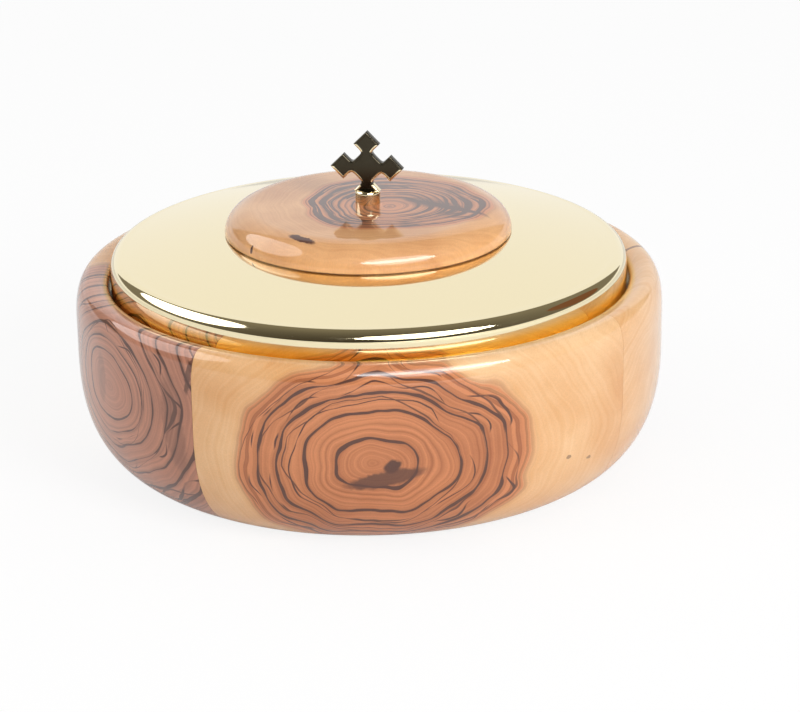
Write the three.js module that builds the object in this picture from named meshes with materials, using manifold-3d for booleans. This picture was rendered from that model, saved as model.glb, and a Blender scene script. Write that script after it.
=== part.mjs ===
import * as THREE from "three";
import { mergeVertices } from "three/addons/utils/BufferGeometryUtils.js";
import Module from "manifold-3d";

// A low covered bowl for hosts: a turned bowl of olive wood glued up from four
// quarter blocks, a gilt brass cup set into it, and a gilt brass lid that lifts
// off, topped by a turned wooden dome and a small cross on a round post.
// Millimetres, +Z up. The origin is the centre of the base, and the front is -Y.

const wasm = await Module();
wasm.setup();

// Wooden bowl
const bowlRadius = 80; // at the straight band, the widest place
const swellOverhang = 19.7; // band outside the foot
const swellHeight = 34.3; // base to the band's lower edge
const swellFullness = 2.78; // how quickly the swell stands up towards the band
const swellRound = 1.86; // how round the swell leaves the foot
const bandHeight = 7.7;
const rimRise = 10.3; // band's upper edge to the crest of the rim
const rimOuterWidth = 4.7; // band to the crest of the rim
const rimInnerWidth = 4.3; // crest of the rim to the mouth
const rimDrop = 2.4; // crest of the rim down to the edge of the mouth
const mouthDepth = 6.9; // edge of the mouth down to the ledge that carries the cup
const ledgeWidth = 7.5;
const blockPlaces = ["front", "right", "back", "left"];
const frontJointAngle = -34.7; // first glue joint, in degrees from the front towards +X
const glueLine = 0.1;

// Underside of the bowl
const footRingWidth = 8.3;
const feltThickness = 1.5;
const feltGap = 0.3;
const nutPocketGap = 2; // room for a spanner round the washer
const nutPocketClear = 0.8; // felt to the end of the stud
const clampWeb = 2.8; // wood between the washer and the stud's pad

// Gilt brass cup and its fastening
const cupWall = 1;
const cupCorner = 16; // inside radius between wall and floor
const cupGap = 0.5; // cup to wood
const flangeGap = 0.5; // edge of the cup's flange to the wooden mouth
const cupStudRadius = 2.5;
const cupStudPadRadius = 7; // pad brazed under the cup
const cupStudPadHeight = 1.2;
const cupStudEnd = 0.5; // stud past its nut
const cupWasherRadius = 8;
const cupWasherHeight = 1.2;
const cupNutWall = 1.2; // hole to a flat side
const cupNutHeight = 4;
const studGap = 0.3; // a stud in its hole, all round

// Gilt brass lid
const lidPlay = 0.8; // lid's skirt to the wooden mouth, all round
const lidWall = 0.9;
const lidSeatGap = 0.1; // lid's skirt over the cup's flange
const lidShow = 5.1; // straight skirt that shows above the edge of the mouth
const lidShoulder = 3.6; // radius between skirt and crown
const lidCrownRise = 4.3; // shoulder to the flat seat of the dome

// Turned wooden dome on the lid
const domeRadius = 39;
const domeFootEdge = 0.4; // chamfer round the foot
const domeShoulderWidth = 8.6;
const domeShoulderHeight = 6.9; // above the chamfer
const domeCrownRise = 0.4; // shoulder to the top

// Post and cross
const postRadius = 3.4;
const postHeight = 3.7;
const postEdge = 0.9; // rounding of the post's top
const tailRadius = 1.5; // threaded tail under the post
const tailEnd = 0.5; // tail past its nut
const finialWasherRadius = 6;
const finialWasherHeight = 0.8;
const finialNutWall = 0.95; // hole to a flat side
const finialNutHeight = 2.4;
const lozenge = 3.4; // centre of each of the cross's five lozenges to its corners
const neckHalf = 0.7; // half-width that the hollows between two lozenges aim at
const neckLength = 1.3;
const neckFillet = 0.9; // how far a hollow runs up the lozenges' sides
const crossThickness = 2.5;
const crossEdge = 0.6; // rounding of the cross's edges
const crossFootDepth = 0.8; // lowest lozenge's middle to the cut foot
const crossSink = 0.5; // lowest lozenge's middle under the post's top
const crossTurn = -14; // degrees about the post
const brazeGap = 0.15;
const roundingLimit = 0.7; // most of half a wall that a rounding may take
const hollowEndShare = 0.25; // part of its ends' depth that a hollow keeps at its middle

// Fineness of the turned shapes
const largeSides = 72;
const cupSides = 60;
const smallSides = 24;
const swellSteps = 10;
const domeSteps = 7;
const roundSteps = 5;
const edgeSteps = 3;

// Radii worked out from the sizes above
const footRadius = bowlRadius - swellOverhang;
const crestRadius = bowlRadius - rimOuterWidth;
const mouthRadius = crestRadius - rimInnerWidth;
const cavityRadius = mouthRadius - ledgeWidth;
const cupRadius = cavityRadius - cupGap - cupWall;
const feltPocketRadius = footRadius - footRingWidth;
const armReach = 2 * (lozenge - neckHalf) + neckLength; // to an outer lozenge's centre

// Heights worked out from the sizes above
const cupStudBottom = feltThickness + nutPocketClear;
const cupNutBottom = cupStudBottom + cupStudEnd;
const cupWasherBottom = cupNutBottom + cupNutHeight;
const nutPocketTop = cupWasherBottom + cupWasherHeight;
const padPocketFloor = nutPocketTop + clampWeb;
const bowlFloor = padPocketFloor + cupStudPadHeight;
const cupUnderside = bowlFloor + cupGap;
const bandTop = swellHeight + bandHeight;
const rimCrest = bandTop + rimRise;
const mouthEdge = rimCrest - rimDrop;
const ledge = mouthEdge - mouthDepth;
const flangeTop = ledge + cupWall;
const skirtBottom = flangeTop + lidSeatGap;
const shoulderStart = mouthEdge + lidShow;
const domeSeat = shoulderStart + lidShoulder + lidCrownRise;
const lidUnderside = domeSeat - lidWall;
const domeShoulderStart = domeSeat + domeFootEdge;
const domeCrownStart = domeShoulderStart + domeShoulderHeight;
const domeTop = domeCrownStart + domeCrownRise;
const postTop = domeTop + postHeight;
const crossCentre = postTop - crossSink + armReach;

// Finishes
const oliveWood = { color: 0xe6b079, roughness: 0.35, metalness: 0 };
const giltBrass = { color: 0xf0c878, roughness: 0.08, metalness: 1 };
const plainBrass = { color: 0xc9a45c, roughness: 0.35, metalness: 1 };
const steel = { color: 0xb9bcc0, roughness: 0.4, metalness: 1 };
const felt = { color: 0x3a2a22, roughness: 0.95, metalness: 0 };

const model = new THREE.Group();

function addMesh(name, geometry, finish) {
  const mesh = new THREE.Mesh(geometry, new THREE.MeshStandardMaterial(finish));
  mesh.name = name;
  model.add(mesh);
  return mesh;
}

// Points [radius, height] along a quarter of an ellipse, without its first point.
// It turns from one direction of its centre to the next: 0 is outwards and 1 is up.
function quarter(centre, width, height, fromTurn, toTurn, steps) {
  const points = [];
  for (let i = 1; i <= steps; i++) {
    const angle = ((fromTurn + ((toTurn - fromTurn) * i) / steps) * Math.PI) / 2;
    points.push([
      centre[0] + width * Math.cos(angle),
      centre[1] + height * Math.sin(angle),
    ]);
  }
  return points;
}

// A turned piece from its section, listed anticlockwise with the axis on the left.
function turned(section, sides) {
  const points = section.map(([radius, height]) => new THREE.Vector2(radius, height));
  return new THREE.LatheGeometry(points, sides).rotateX(Math.PI / 2);
}

// A turned piece with a hole down its axis: its section closes on itself.
function turnedRing(section, sides) {
  return turned([...section, section[0]], sides);
}

function turnedWasher(outerRadius, holeRadius, bottom, height) {
  const top = bottom + height;
  const section = [
    [holeRadius, bottom],
    [outerRadius, bottom],
    [outerRadius, top],
    [holeRadius, top],
  ];
  return turnedRing(section, smallSides);
}

function hexNut(holeRadius, wall, bottom, height) {
  const cornerRadius = (holeRadius + wall) / Math.cos(Math.PI / 6);
  const outline = new THREE.Shape();
  for (let corner = 0; corner < 6; corner++) {
    const angle = (corner * Math.PI) / 3;
    const x = cornerRadius * Math.cos(angle);
    const y = cornerRadius * Math.sin(angle);
    if (corner === 0) outline.moveTo(x, y);
    else outline.lineTo(x, y);
  }
  outline.closePath();
  outline.holes.push(new THREE.Path().absarc(0, 0, holeRadius, 0, 2 * Math.PI, true));
  const options = { depth: height, bevelEnabled: false, curveSegments: smallSides / 2 };
  return new THREE.ExtrudeGeometry(outline, options).translate(0, 0, bottom);
}

function toSolid(geometry) {
  const plain = geometry.clone();
  plain.deleteAttribute("normal");
  plain.deleteAttribute("uv");
  const merged = mergeVertices(plain, 1e-4);
  const vertProperties = merged.attributes.position.array;
  const triVerts = new Uint32Array(merged.index.array);
  return new wasm.Manifold(new wasm.Mesh({ numProp: 3, vertProperties, triVerts }));
}

function toGeometry(solid) {
  const mesh = solid.getMesh();
  const geometry = new THREE.BufferGeometry();
  geometry.setAttribute("position", new THREE.BufferAttribute(mesh.vertProperties, 3));
  geometry.setIndex(new THREE.BufferAttribute(mesh.triVerts, 1));
  const faceted = geometry.toNonIndexed();
  faceted.computeVertexNormals();
  return faceted;
}

// Wooden bowl: one turned section, then cut into its glued blocks
function bowlSection() {
  const swell = [];
  for (let i = 1; i <= swellSteps; i++) {
    const rise = (i / swellSteps) ** 2;
    const spread = (1 - (1 - rise) ** swellFullness) ** (1 / swellRound);
    swell.push([footRadius + (bowlRadius - footRadius) * spread, swellHeight * rise]);
  }
  const cavityCorner = cupCorner + cupWall + cupGap;
  const padPocketRadius = cupStudPadRadius + cupGap;
  const holeRadius = cupStudRadius + studGap;
  const nutPocketRadius = cupWasherRadius + nutPocketGap;
  return [
    [feltPocketRadius, 0],
    [footRadius, 0],
    ...swell,
    [bowlRadius, bandTop],
    ...quarter([crestRadius, bandTop], rimOuterWidth, rimRise, 0, 1, roundSteps),
    ...quarter([crestRadius, mouthEdge], rimInnerWidth, rimDrop, 1, 2, edgeSteps),
    [mouthRadius, ledge],
    [cavityRadius, ledge],
    [cavityRadius, bowlFloor + cavityCorner],
    ...quarter(
      [cavityRadius - cavityCorner, bowlFloor + cavityCorner],
      cavityCorner,
      cavityCorner,
      0,
      -1,
      roundSteps,
    ),
    [padPocketRadius, bowlFloor],
    [padPocketRadius, padPocketFloor],
    [holeRadius, padPocketFloor],
    [holeRadius, nutPocketTop],
    [nutPocketRadius, nutPocketTop],
    [nutPocketRadius, feltThickness],
    [feltPocketRadius, feltThickness],
  ];
}

function blockWedge(startAngle, span) {
  const reach = bowlRadius * 3;
  const halfLine = glueLine / 2;
  const middle = startAngle + span / 2;
  const tip = halfLine / Math.sin(span / 2);
  const outline = new THREE.Shape([
    new THREE.Vector2(0, 0),
    new THREE.Vector2(Math.cos(-span / 2), Math.sin(-span / 2)).multiplyScalar(reach),
    new THREE.Vector2(reach, 0),
    new THREE.Vector2(Math.cos(span / 2), Math.sin(span / 2)).multiplyScalar(reach),
  ]);
  return new THREE.ExtrudeGeometry(outline, { depth: rimCrest * 2, bevelEnabled: false })
    .translate(tip, 0, -rimCrest / 2)
    .rotateZ(middle);
}

function addBowl() {
  const bowl = toSolid(turnedRing(bowlSection(), largeSides));
  const span = (2 * Math.PI) / blockPlaces.length;
  const firstStart = THREE.MathUtils.degToRad(frontJointAngle - 90);
  blockPlaces.forEach((place, i) => {
    const wedge = toSolid(blockWedge(firstStart + i * span, span));
    const block = toGeometry(bowl.intersect(wedge));
    addMesh("bowl_block_" + place, block, oliveWood);
  });
  const feltRadius = feltPocketRadius - feltGap;
  const pad = turned(
    [
      [0, 0],
      [feltRadius, 0],
      [feltRadius, feltThickness],
      [0, feltThickness],
    ],
    largeSides,
  );
  addMesh("base_felt", pad, felt);
}

// Cup: spun sheet with a flange that rests on the ledge in the wood
function addCup() {
  const outerRadius = cupRadius + cupWall;
  const outerCorner = cupCorner + cupWall;
  const flangeRadius = mouthRadius - flangeGap;
  const cupFloor = cupUnderside + cupWall;
  const cornerCentre = [cupRadius - cupCorner, cupFloor + cupCorner];
  const inside = quarter(cornerCentre, cupCorner, cupCorner, 0, -1, roundSteps);
  const outside = quarter(cornerCentre, outerCorner, outerCorner, -1, 0, roundSteps);
  const section = [
    [0, cupUnderside],
    [cornerCentre[0], cupUnderside],
    ...outside,
    [outerRadius, ledge],
    [flangeRadius, ledge],
    [flangeRadius, flangeTop],
    [cupRadius, flangeTop],
    [cupRadius, cornerCentre[1]],
    ...inside,
    [0, cupFloor],
  ];
  addMesh("cup_liner", turned(section, cupSides), giltBrass);

  const padBottom = cupUnderside - cupStudPadHeight;
  const stud = [
    [0, cupStudBottom],
    [cupStudRadius, cupStudBottom],
    [cupStudRadius, padBottom],
    [cupStudPadRadius, padBottom],
    [cupStudPadRadius, cupUnderside],
    [0, cupUnderside],
  ];
  const holeRadius = cupStudRadius + studGap;
  const washer = turnedWasher(
    cupWasherRadius,
    holeRadius,
    cupWasherBottom,
    cupWasherHeight,
  );
  const nut = hexNut(holeRadius, cupNutWall, cupNutBottom, cupNutHeight);
  addMesh("cup_stud", turned(stud, smallSides), plainBrass);
  addMesh("cup_washer", washer, steel);
  addMesh("cup_nut", nut, steel);
}

// Lid: pressed sheet with a straight skirt, a rounded shoulder and a low crown
function lidCrown(seatRadius, shoulderRadius, shoulderTop) {
  const points = [];
  for (let i = 1; i < roundSteps; i++) {
    const radius = shoulderRadius + ((seatRadius - shoulderRadius) * i) / roundSteps;
    const fall = (radius ** 2 - seatRadius ** 2) / (shoulderRadius ** 2 - seatRadius ** 2);
    points.push([radius, shoulderTop + lidCrownRise * (1 - fall)]);
  }
  return points;
}

function addLid() {
  const skirtRadius = mouthRadius - lidPlay;
  const shoulderRadius = skirtRadius - lidShoulder;
  const seatRadius = domeRadius - domeFootEdge;
  const shoulderCentre = [shoulderRadius, shoulderStart];
  const innerShoulder = lidShoulder - lidWall;
  const innerTop = shoulderStart + innerShoulder;
  const holeRadius = tailRadius + studGap;
  const section = [
    [holeRadius, lidUnderside],
    [seatRadius, lidUnderside],
    ...lidCrown(seatRadius, shoulderRadius, innerTop).reverse(),
    [shoulderRadius, innerTop],
    ...quarter(shoulderCentre, innerShoulder, innerShoulder, 1, 0, roundSteps),
    [skirtRadius - lidWall, skirtBottom],
    [skirtRadius, skirtBottom],
    [skirtRadius, shoulderStart],
    ...quarter(shoulderCentre, lidShoulder, lidShoulder, 0, 1, roundSteps),
    ...lidCrown(seatRadius, shoulderRadius, shoulderStart + lidShoulder),
    [seatRadius, domeSeat],
    [holeRadius, domeSeat],
  ];
  addMesh("lid_shell", turnedRing(section, largeSides), giltBrass);

  const crownRadius = domeRadius - domeShoulderWidth;
  const crown = [];
  for (let i = 1; i < edgeSteps; i++) {
    const inwards = i / edgeSteps;
    const rise = domeCrownRise * (1 - (1 - inwards) ** 2);
    crown.push([crownRadius + (postRadius - crownRadius) * inwards, domeCrownStart + rise]);
  }
  const dome = [
    [holeRadius, domeSeat],
    [domeRadius - domeFootEdge, domeSeat],
    [domeRadius, domeShoulderStart],
    ...quarter(
      [crownRadius, domeShoulderStart],
      domeShoulderWidth,
      domeShoulderHeight,
      0,
      1,
      domeSteps,
    ),
    ...crown,
    [postRadius, domeTop],
    [holeRadius, domeTop],
  ];
  addMesh("lid_dome", turnedRing(dome, largeSides), oliveWood);
}

// Cross of five lozenges, drawn upright with its centre at the origin
function crossOutline() {
  const outline = new THREE.Shape();
  const nearCorner = lozenge - neckHalf;
  const farCorner = armReach - nearCorner;
  const slope = neckFillet / Math.SQRT2;
  const place = (angle, along, across) => {
    const x = along * Math.cos(angle) - across * Math.sin(angle);
    const y = along * Math.sin(angle) + across * Math.cos(angle);
    return [x, y];
  };
  for (let arm = 0; arm < 4; arm++) {
    const angle = (arm * Math.PI) / 2;
    const isFoot = arm === 3;
    const start = place(angle, nearCorner - slope, -neckHalf - slope);
    if (arm === 0) outline.moveTo(...start);
    else outline.lineTo(...start);
    outline.bezierCurveTo(
      ...place(angle, nearCorner, -neckHalf),
      ...place(angle, farCorner, -neckHalf),
      ...place(angle, farCorner + slope, -neckHalf - slope),
    );
    outline.lineTo(...place(angle, armReach, -lozenge));
    if (isFoot) {
      const footHalf = lozenge - crossFootDepth;
      outline.lineTo(...place(angle, armReach + crossFootDepth, -footHalf));
      outline.lineTo(...place(angle, armReach + crossFootDepth, footHalf));
    } else {
      outline.lineTo(...place(angle, armReach + lozenge, 0));
    }
    outline.lineTo(...place(angle, armReach, lozenge));
    outline.lineTo(...place(angle, farCorner + slope, neckHalf + slope));
    outline.bezierCurveTo(
      ...place(angle, farCorner, neckHalf),
      ...place(angle, nearCorner, neckHalf),
      ...place(angle, nearCorner - slope, neckHalf + slope),
    );
  }
  outline.closePath();
  return outline;
}

function addFinial() {
  const washerBottom = lidUnderside - finialWasherHeight;
  const nutBottom = washerBottom - finialNutHeight;
  const roundCentre = [postRadius - postEdge, postTop - postEdge];
  const section = [
    [0, nutBottom - tailEnd],
    [tailRadius, nutBottom - tailEnd],
    [tailRadius, domeTop],
    [postRadius, domeTop],
    [postRadius, postTop - postEdge],
    ...quarter(roundCentre, postEdge, postEdge, 0, 1, edgeSteps),
    [0, postTop],
  ];
  const turn = THREE.MathUtils.degToRad(crossTurn);
  const slotFloor = postTop - crossSink - crossFootDepth - brazeGap;
  const slotHeight = 2 * (postTop - slotFloor);
  const slot = new THREE.BoxGeometry(
    postRadius * 3,
    crossThickness + 2 * brazeGap,
    slotHeight,
  ).rotateZ(turn).translate(0, 0, slotFloor + slotHeight / 2);
  const post = toSolid(turned(section, smallSides)).subtract(toSolid(slot));
  addMesh("finial_post", toGeometry(post), giltBrass);

  const neckWall = neckHalf + (hollowEndShare * neckFillet) / Math.SQRT2;
  const edge = Math.min(
    crossEdge,
    roundingLimit * neckWall,
    (roundingLimit * crossThickness) / 2,
  );
  const depth = crossThickness - 2 * edge;
  const cross = new THREE.ExtrudeGeometry(crossOutline(), {
    depth,
    curveSegments: roundSteps,
    bevelThickness: edge,
    bevelSize: edge,
    bevelOffset: -edge,
    bevelSegments: 2,
  })
    .translate(0, 0, -depth / 2)
    .rotateX(Math.PI / 2);
  const crossMesh = addMesh("finial_cross", cross, giltBrass);
  crossMesh.rotation.z = turn;
  crossMesh.position.z = crossCentre;

  const holeRadius = tailRadius + studGap;
  const washer = turnedWasher(
    finialWasherRadius,
    holeRadius,
    washerBottom,
    finialWasherHeight,
  );
  addMesh("finial_washer", washer, plainBrass);
  const nut = hexNut(holeRadius, finialNutWall, nutBottom, finialNutHeight);
  addMesh("finial_nut", nut, steel);
}

addBowl();
addCup();
addLid();
addFinial();

export default model;
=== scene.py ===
"""A covered host bowl: turned olive wood, a gilt brass cup and lid, and a small cross."""

import math
from dataclasses import dataclass

import bmesh
import bpy
from bpy.props import FloatProperty, FloatVectorProperty, IntProperty, PointerProperty
from mathutils import Euler, Matrix, Vector


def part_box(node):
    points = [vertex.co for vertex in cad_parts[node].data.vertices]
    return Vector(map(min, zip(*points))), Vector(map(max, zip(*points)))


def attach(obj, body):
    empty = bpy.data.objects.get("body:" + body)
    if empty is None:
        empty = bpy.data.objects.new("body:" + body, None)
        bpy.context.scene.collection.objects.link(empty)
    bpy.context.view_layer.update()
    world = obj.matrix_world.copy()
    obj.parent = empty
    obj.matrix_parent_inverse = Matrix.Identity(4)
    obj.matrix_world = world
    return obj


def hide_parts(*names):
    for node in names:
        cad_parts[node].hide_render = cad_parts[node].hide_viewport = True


bl_info = {
    "name": "Olive wood host bowl",
    "version": (1, 0, 0),
    "blender": (4, 5, 0),
    "location": "View3D > Sidebar > Host bowl",
    "description": "Builds a covered host bowl of turned olive wood and gilt brass",
    "category": "Add Mesh",
}

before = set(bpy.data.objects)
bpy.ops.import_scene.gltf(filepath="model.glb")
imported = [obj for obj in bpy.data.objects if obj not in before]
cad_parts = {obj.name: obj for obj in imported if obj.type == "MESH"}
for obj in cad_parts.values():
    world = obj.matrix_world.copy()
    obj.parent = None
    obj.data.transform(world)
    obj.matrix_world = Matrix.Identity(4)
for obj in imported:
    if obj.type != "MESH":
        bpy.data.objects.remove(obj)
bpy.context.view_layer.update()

MM = 0.001
BLOCKS = ("front", "right", "back", "left")


def linear(code):
    """An sRGB hex colour as linear red, green and blue."""
    channels = [int(code[i : i + 2], 16) / 255 for i in (0, 2, 4)]
    return [c / 12.92 if c <= 0.04045 else ((c + 0.055) / 1.055) ** 2.4 for c in channels]


def length(name, millimetres, note):
    """A length that a user can change, in metres."""
    return FloatProperty(
        name=name, description=note, default=millimetres * MM, unit="LENGTH", precision=4
    )


def number(name, value, note):
    """A plain number that a user can change."""
    return FloatProperty(name=name, description=note, default=value)


def degrees(name, value, note):
    """An angle that a user can change, given here in degrees."""
    return FloatProperty(
        name=name, description=note, default=math.radians(value), subtype="ANGLE"
    )


def colour(name, code, note):
    """A colour that a user can change."""
    return FloatVectorProperty(
        name=name, description=note, default=linear(code), subtype="COLOR", min=0, max=1
    )


# Sizes that the frame gives, so that every visible piece follows it
foot_low = min(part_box("bowl_block_" + place)[0].z for place in BLOCKS)
rim_crest = max(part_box("bowl_block_" + place)[1].z for place in BLOCKS)
bowl_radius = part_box("bowl_block_right")[1].x
cup_low, cup_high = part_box("cup_liner")
lid_low, lid_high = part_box("lid_shell")
dome_low, dome_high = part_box("lid_dome")
post_low, post_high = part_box("finial_post")
felt_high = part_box("base_felt")[1]
cross_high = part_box("finial_cross")[1]


class BowlSizes(bpy.types.PropertyGroup):
    """Sizes of the turned wooden bowl that its box doesn't give"""

    overhang: length("Overhang", 19.7, "Widest band outside the foot")
    swell: length("Swell height", 34.3, "Base to the lower edge of the widest band")
    fullness: number("Fullness", 2.78, "How fast the swell rises")
    roundness: number("Roundness", 1.86, "How round the foot is")
    band: length("Band height", 7.7, "Height of the straight band")
    rim_outer: length("Outer rim", 4.7, "Band to the crest of the rim")
    rim_full: number("Rim fullness", 2.5, "How full the rim is")
    rim_inner: length("Inner rim", 4.3, "Crest of the rim to the mouth")
    rim_drop: length("Rim drop", 2.4, "Crest of the rim to the edge of the mouth")
    mouth_depth: length("Mouth depth", 6.9, "Edge of the mouth to the ledge")
    ledge_width: length("Ledge width", 7.5, "Ledge that carries the cup")
    foot_ring: length("Foot ring", 8.3, "Width of the ring that the bowl stands on")
    clamp_web: length("Clamp web", 2.8, "Wood between the washer and the stud's pad")
    spanner_room: length("Spanner room", 2, "Room in the wood round the washer")
    glue_line: length("Glue line", 0.1, "Gap between two glued blocks")
    first_joint: degrees("First joint", -34.7, "From the front to the glue joint on its left")


class LidSizes(bpy.types.PropertyGroup):
    """Sizes of the lid, its dome and its cross that their boxes don't give"""

    wall: length("Sheet", 0.9, "Thickness of the lid's sheet")
    shoulder: length("Shoulder", 3.6, "Radius between the skirt and the crown")
    crown: length("Crown", 4.3, "Rise of the crown to the seat of the dome")
    dome_edge: length("Dome edge", 0.4, "Chamfer round the dome's foot")
    dome_shoulder: length("Dome shoulder", 8.6, "Width of the dome's rounded shoulder")
    dome_crown: length("Dome crown", 0.4, "Rise of the dome inside its shoulder")
    post_edge: length("Post edge", 0.9, "Rounding of the post's top")
    tail: length("Tail", 1.5, "Radius of the post's threaded tail")
    hole_gap: length("Hole gap", 0.3, "Tail to its hole, all round")
    lozenge: length("Lozenge", 3.5, "Centre of each outer lozenge to its corners")
    middle: length("Middle lozenge", 5.3, "Centre of the middle lozenge to its corners")
    neck: length("Neck", 1.15, "Half-width where the sides of two lozenges meet")
    hollow: length("Hollow", 2, "How far a hollow runs up the lozenges' sides")
    thickness: length("Thickness", 2.5, "Thickness of the cross")
    edge: length("Edge", 0.4, "Rounding of the edges of the cross")
    border: length("Border", 0.6, "Bare border round the dark plates of the cross")
    plate_edge: length("Plate edge", 0.08, "Depth that the dark plates are sunk")
    foot: length("Foot", 0.8, "Middle of the lowest lozenge to the cut foot")
    turn: degrees("Turn", -14, "Turn of the cross about its post")


class CupSizes(bpy.types.PropertyGroup):
    """Sizes of the gilt cup that its box doesn't give"""

    wall: length("Sheet", 1.0, "Thickness of the cup's sheet")
    corner: length("Corner", 16, "Inside radius between wall and floor")
    gap: length("Gap", 0.5, "Cup to wood")
    stud: length("Stud", 2.5, "Radius of the stud under the cup")
    stud_gap: length("Stud gap", 0.3, "Stud to its hole, all round")


class Finishes(bpy.types.PropertyGroup):
    """Colours of the wood, the metal and the felt, with two painted reflections on the metal"""

    sapwood: colour("Sapwood", "F2C898", "Pale outer wood")
    sapwood_warm: colour("Warm sapwood", "E0A66C", "Warmer streaks in the pale wood")
    heartwood: colour("Heartwood", "D48A5C", "Brown inner wood")
    heartwood_dark: colour("Dark heartwood", "9E5C38", "Darker bands of the inner wood")
    grey_heartwood: colour("Grey heartwood", "C98B70", "Greyer inner wood of the left block")
    grey_dark: colour("Dark grey heartwood", "8C5E4C", "Greyer bands of the left block")
    dome_sapwood: colour("Dome sapwood", "E9B27C", "Pale wood of the dome")
    dome_warm: colour("Warm dome sapwood", "CB8F5C", "Warmer streaks in the dome")
    vein: colour("Vein", "5C3B30", "Dark veins")
    gold: colour("Gold", "F2E5BF", "Polished gold plate")
    # Painted reflection: the warm wood that the lid's upright wall mirrors
    wood_reflection_gold: colour("Wall reflection gold", "F6DC88", "Gold on the lid's upright wall, tinted as a painted reflection of the wood")
    # Painted dark reflection: the colour that the faces of the cross show in place of gilt
    # mirroring dark surroundings
    painted_dark_reflection: colour("Dark reflection", "413C31", "Painted dark reflection on the faces of the cross")
    brass: colour("Brass", "C9A45C", "Turned brass without plating")
    zinc: colour("Zinc", "B4B8BC", "Zinc plated steel")
    felt: colour("Felt", "3A2A22", "Wool felt")


class StageLook(bpy.types.PropertyGroup):
    """Camera and studio"""

    distance: length("Camera distance", 800, "Camera to the centre of the bowl")
    elevation: degrees("Elevation", 18.92, "Camera above the horizon")
    roll: degrees("Roll", 0.95, "Turn of the camera about its view")
    lens: number("Lens", 131.6, "Focal length in mm")
    horizon: number("Horizon", 0.43, "Light from all round")
    zenith: number("Zenith", 0.7, "Light from overhead")
    left_lamp: number("Left lamp", 3, "Power in watts")
    right_lamp: number("Right lamp", 12.5, "Power in watts")
    floor: colour("Floor", "D8CFC4", "Colour of the light that the floor throws back")
    turns: IntProperty(name="Turned sides", description="Sides of a whole turn", default=288)


def sizes(name):
    """The values of one property group."""
    return getattr(bpy.context.scene, name)


def new_object(name, data):
    """A new object in the scene that shows a mesh, a camera or a lamp."""
    made = bpy.data.objects.new(name, data)
    bpy.context.scene.collection.objects.link(made)
    return made


def fill(tree, node, sockets):
    """Fills or links sockets of a node. A node given as a value stands for its output."""
    for key, value in sockets.items():
        socket = node.inputs[key]
        if isinstance(value, bpy.types.Node):
            value = next(output for output in value.outputs if output.enabled)
        if isinstance(value, bpy.types.NodeSocket):
            tree.links.new(value, socket)
        elif socket.type == "RGBA":
            socket.default_value = (*value, 1)
        else:
            socket.default_value = value


def add(tree, kind, sockets=(), **settings):
    """Adds a node with its settings, and fills or links its sockets."""
    made = tree.nodes.new(kind)
    for name, value in settings.items():
        setattr(made, name, value)
    fill(tree, made, dict(sockets))
    return made


MATHS = "ShaderNodeMath"
VECTOR_MATHS = "ShaderNodeVectorMath"
NOISE = "ShaderNodeTexNoise"
RAMP = "ShaderNodeValToRGB"
RANGE = "ShaderNodeMapRange"
MIX = "ShaderNodeMix"


def new_material(name):
    """An empty node material with its output and a Principled shader."""
    material = bpy.data.materials.new(name)
    material.use_nodes = True
    tree = material.node_tree
    tree.nodes.clear()
    shader = add(tree, "ShaderNodeBsdfPrincipled")
    output = add(tree, "ShaderNodeOutputMaterial", {"Surface": shader})
    return material, tree, shader, output


@dataclass
class Spot:
    """A knot or a pit: a ragged ellipse of dark wood, in millimetres from the pith."""

    x: float
    z: float
    long: float  # half its length
    high: float  # half its height
    turn: float = 0  # degrees that its right end is raised
    dark: float = 1
    y: float = 0
    deep: float = 1000  # half its depth along the fibres


@dataclass
class Figure:
    """The figure of one piece of wood round its pith, in millimetres."""

    pith: tuple  # a point of the pith, in metres
    turn: float  # degrees that the pith turns from the front towards +X
    reach: tuple  # heartwood from the pith to its left, right, top and bottom
    rings: tuple  # main veins: (share of the reach, half width as a share)
    branches: tuple  # veins that wander between the main ones, given the same way
    seed: float
    heart: tuple
    heart_dark: tuple
    sap: tuple
    sap_warm: tuple
    dark: float = 1.0  # darkness of the veins
    wobble: float = 1.0  # how far the rings are bent about
    fine: float = 0.0  # darkness of the fine growth lines
    upright: bool = False  # the pith stands upright
    spots: tuple = ()  # knots, smears and pits
    foot: float = 0.0  # height in metres of the foot, above which a thin line of painted shade fades out


def ring_ramp(tree, share, rings):
    """A ramp that rises to 1 on each ring and falls to 0 beside it."""
    reach = 1.25
    ramp = add(tree, RAMP, {0: add(tree, MATHS, {0: share, 1: reach}, operation="DIVIDE")})
    stops = [(0, 0)]
    for place, half in rings:
        stops += [((place - half) / reach, 0), (place / reach, 1), ((place + half) / reach, 0)]
    elements = ramp.color_ramp.elements
    for _ in stops[2:]:
        elements.new(0.5)
    for element, (place, level) in zip(elements, stops):
        element.position = place
        element.color = (level, level, level, 1)
    return ramp


def uneven_lines(tree, profile, cut, softness):
    """Lines as thick as a profile stands above an uneven level."""
    above = add(tree, MATHS, {0: profile, 1: cut}, operation="SUBTRACT")
    return add(tree, RANGE, {"Value": above, "From Min": 0.0, "From Max": softness},
               interpolation_type="SMOOTHSTEP")


def pushed_about(tree, place, seeded, grain, push, detail):
    """A place pushed about by noise of a grain size, both in millimetres."""
    noise = add(tree, NOISE, {"Vector": seeded, "Scale": 1 / grain, "Detail": detail})
    centred = add(tree, VECTOR_MATHS, {0: noise.outputs["Color"], 1: (0.5,) * 3},
                  operation="SUBTRACT")
    pushed = add(tree, VECTOR_MATHS, {0: centred, "Scale": push}, operation="SCALE")
    return add(tree, VECTOR_MATHS, {0: place, 1: pushed}, operation="ADD")


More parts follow.
